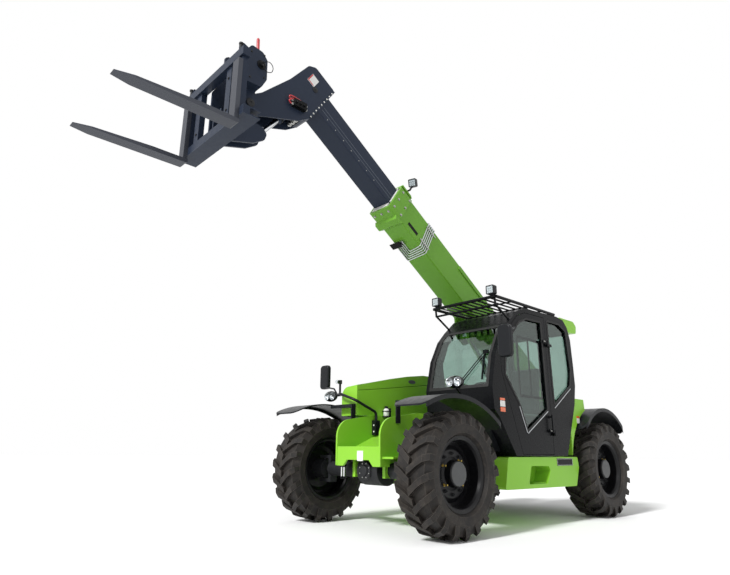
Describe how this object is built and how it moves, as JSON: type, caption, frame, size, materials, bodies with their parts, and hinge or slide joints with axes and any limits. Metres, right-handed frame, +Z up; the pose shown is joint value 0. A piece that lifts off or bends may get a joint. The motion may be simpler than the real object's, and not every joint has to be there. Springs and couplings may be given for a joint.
{
  "type": "telehandler",
  "caption": "Telescopic handler with a raised two-stage boom, fork carriage, side cab, side engine and four steered wheels.",
  "frame": {"origin": "on the ground, under the middle of the machine's whole length and width", "axes": "+X ahead, towards the fork tips; +Y to the left, the cab's side; +Z up"},
  "size_m": [7.1467, 2.55, 5.0255],
  "materials": {
    "black_paint": "satin",
    "black_plastic": "satin",
    "body_green": "gloss",
    "boom_green": "gloss",
    "cast_iron": "rough",
    "chrome_rod": "mirror",
    "cover_green": "gloss",
    "engine_alloy": "rough",
    "glass": "gloss",
    "lamp_lens": "gloss",
    "pad_white": "satin",
    "seat_cover": "matte",
    "slate_paint": "satin",
    "steel": "brushed",
    "tail_red": "gloss",
    "tyre_rubber": "matte"
  },
  "bodies": {
    "chassis": {"chassis_frame": "body_green", "left_step_beam": "cover_green", "left_rear_tower": "cover_green", "right_tank_pod": "cover_green", "engine_block": "engine_alloy", "engine_bay_wall": "body_green", "counterweight": "black_paint", "front_axle": "cast_iron", "rear_axle": "cast_iron", "front_fenders": "black_plastic", "rear_fenders": "black_plastic", "cab_floor": "black_paint", "cab_left_frame": "black_paint", "cab_right_frame": "black_paint", "cab_front_frame": "black_paint", "cab_rear_frame": "black_paint", "cab_roof": "black_paint", "windshield": "glass", "cab_windows": "glass", "roof_guard": "black_paint", "roof_cowl": "cover_green", "operator_seat": "seat_cover", "steering_column": "black_plastic", "mirrors": "black_plastic", "roof_lamps": "lamp_lens", "headlamps": "lamp_lens", "tail_lamps": "tail_red", "tow_hitch": "black_paint"},
    "hood": {"engine_hood": "body_green"},
    "door": {"cab_door": "black_paint", "door_window": "glass"},
    "boom": {"boom_outer": "boom_green", "wear_pads": "pad_white", "boom_pipes": "steel", "boom_lamp": "lamp_lens"},
    "boom_extension": {"boom_inner": "slate_paint", "boom_head": "slate_paint"},
    "carriage": {"carriage_frame": "slate_paint", "fork_left": "steel", "fork_right": "steel"},
    "lift_barrel": {"lift_cylinder_barrel": "slate_paint"},
    "lift_rod": {"lift_cylinder_rod": "chrome_rod"},
    "tilt_barrel": {"tilt_cylinder_barrel": "slate_paint"},
    "tilt_rod": {"tilt_cylinder_rod": "chrome_rod"},
    "front_steering": {"front_steering_rod": "chrome_rod"},
    "rear_steering": {"rear_steering_rod": "chrome_rod"},
    "knuckle_front_left": {"knuckle_front_left": "cast_iron"},
    "wheel_front_left": {"rim_front_left": "black_paint", "tyre_front_left": "tyre_rubber"},
    "knuckle_front_right": {"knuckle_front_right": "cast_iron"},
    "wheel_front_right": {"rim_front_right": "black_paint", "tyre_front_right": "tyre_rubber"},
    "knuckle_rear_left": {"knuckle_rear_left": "cast_iron"},
    "wheel_rear_left": {"rim_rear_left": "black_paint", "tyre_rear_left": "tyre_rubber"},
    "knuckle_rear_right": {"knuckle_rear_right": "cast_iron"},
    "wheel_rear_right": {"rim_rear_right": "black_paint", "tyre_rear_right": "tyre_rubber"}
  },
  "joints": [
    {"name": "boom_lift", "type": "hinge", "parent": "chassis", "child": "boom", "pos_m": [-3.048, -0.17, 1.675], "axis": [0, -1, 0], "range_deg": [-36, 34]},
    {"name": "boom_extend", "type": "slide", "parent": "boom", "child": "boom_extension", "axis": [0.83, 0, 0.5577], "range_m": [-1.25, 0.6]},
    {"name": "carriage_tilt", "type": "hinge", "parent": "boom_extension", "child": "carriage", "pos_m": [2.16273, -0.17, 4.14034], "axis": [0, 1, 0], "range_deg": [-45, 60]},
    {"name": "lift_barrel_swing", "type": "hinge", "parent": "chassis", "child": "lift_barrel", "pos_m": [-2.798, -0.17, 1.05], "axis": [0, -1, 0], "range_deg": [-30.82, 29.11]},
    {"name": "lift_rod_slide", "type": "slide", "parent": "lift_barrel", "child": "lift_rod", "axis": [0.7084, 0, 0.7058], "range_m": [-0.38611, 0.36467]},
    {"name": "tilt_barrel_swing", "type": "hinge", "parent": "boom_extension", "child": "tilt_barrel", "pos_m": [1.32214, -0.17, 4.72968], "axis": [0, 1, 0], "range_deg": [-0.285, 0.376]},
    {"name": "tilt_rod_slide", "type": "slide", "parent": "tilt_barrel", "child": "tilt_rod", "axis": [0.614, 0, -0.7893], "range_m": [-0.28205, 0.21159]},
    {"name": "steer_front_left", "type": "hinge", "parent": "chassis", "child": "knuckle_front_left", "pos_m": [0.352, 0.855, 0.57], "axis": [0, 0, 1], "range_deg": [-32, 32]},
    {"name": "roll_front_left", "type": "hinge", "parent": "knuckle_front_left", "child": "wheel_front_left", "pos_m": [0.352, 0.945, 0.57], "axis": [0, 1, 0], "continuous": true},
    {"name": "steer_front_right", "type": "hinge", "parent": "chassis", "child": "knuckle_front_right", "pos_m": [0.352, -0.855, 0.57], "axis": [0, 0, 1], "range_deg": [-32, 32]},
    {"name": "roll_front_right", "type": "hinge", "parent": "knuckle_front_right", "child": "wheel_front_right", "pos_m": [0.352, -0.945, 0.57], "axis": [0, 1, 0], "continuous": true},
    {"name": "steering_rod_front", "type": "slide", "parent": "chassis", "child": "front_steering", "axis": [0, 1, 0], "range_m": [-0.07895, 0.07895]},
    {"name": "steer_rear_left", "type": "hinge", "parent": "chassis", "child": "knuckle_rear_left", "pos_m": [-2.648, 0.855, 0.57], "axis": [0, 0, 1], "range_deg": [-32, 32]},
    {"name": "roll_rear_left", "type": "hinge", "parent": "knuckle_rear_left", "child": "wheel_rear_left", "pos_m": [-2.648, 0.945, 0.57], "axis": [0, 1, 0], "continuous": true},
    {"name": "steer_rear_right", "type": "hinge", "parent": "chassis", "child": "knuckle_rear_right", "pos_m": [-2.648, -0.855, 0.57], "axis": [0, 0, 1], "range_deg": [-32, 32]},
    {"name": "roll_rear_right", "type": "hinge", "parent": "knuckle_rear_right", "child": "wheel_rear_right", "pos_m": [-2.648, -0.945, 0.57], "axis": [0, 1, 0], "continuous": true},
    {"name": "steering_rod_rear", "type": "slide", "parent": "chassis", "child": "rear_steering", "axis": [0, 1, 0], "range_m": [-0.07895, 0.07895]},
    {"name": "door_hinge", "type": "hinge", "parent": "chassis", "child": "door", "pos_m": [-1.429, 1.074, 0.98], "axis": [0, 0, 1], "range_deg": [0, 150]},
    {"name": "hood_hinge", "type": "hinge", "parent": "chassis", "child": "hood", "pos_m": [-2.012, -0.9, 1.628], "axis": [0, -1, 0], "range_deg": [0, 50]}
  ],
  "couplings": [
    {"joint": "lift_barrel_swing", "follows": "boom_lift", "ratio": 0.8559},
    {"joint": "lift_rod_slide", "follows": "boom_lift", "m_per_rad": 0.61419},
    {"joint": "tilt_barrel_swing", "follows": "carriage_tilt", "ratio": 0.0061},
    {"joint": "tilt_rod_slide", "follows": "carriage_tilt", "m_per_rad": -0.26915},
    {"joint": "steer_front_right", "follows": "steer_front_left", "ratio": 1},
    {"joint": "steering_rod_front", "follows": "steer_front_left", "m_per_rad": -0.141},
    {"joint": "steer_rear_right", "follows": "steer_rear_left", "ratio": 1},
    {"joint": "steering_rod_rear", "follows": "steer_rear_left", "m_per_rad": 0.141}
  ]
}
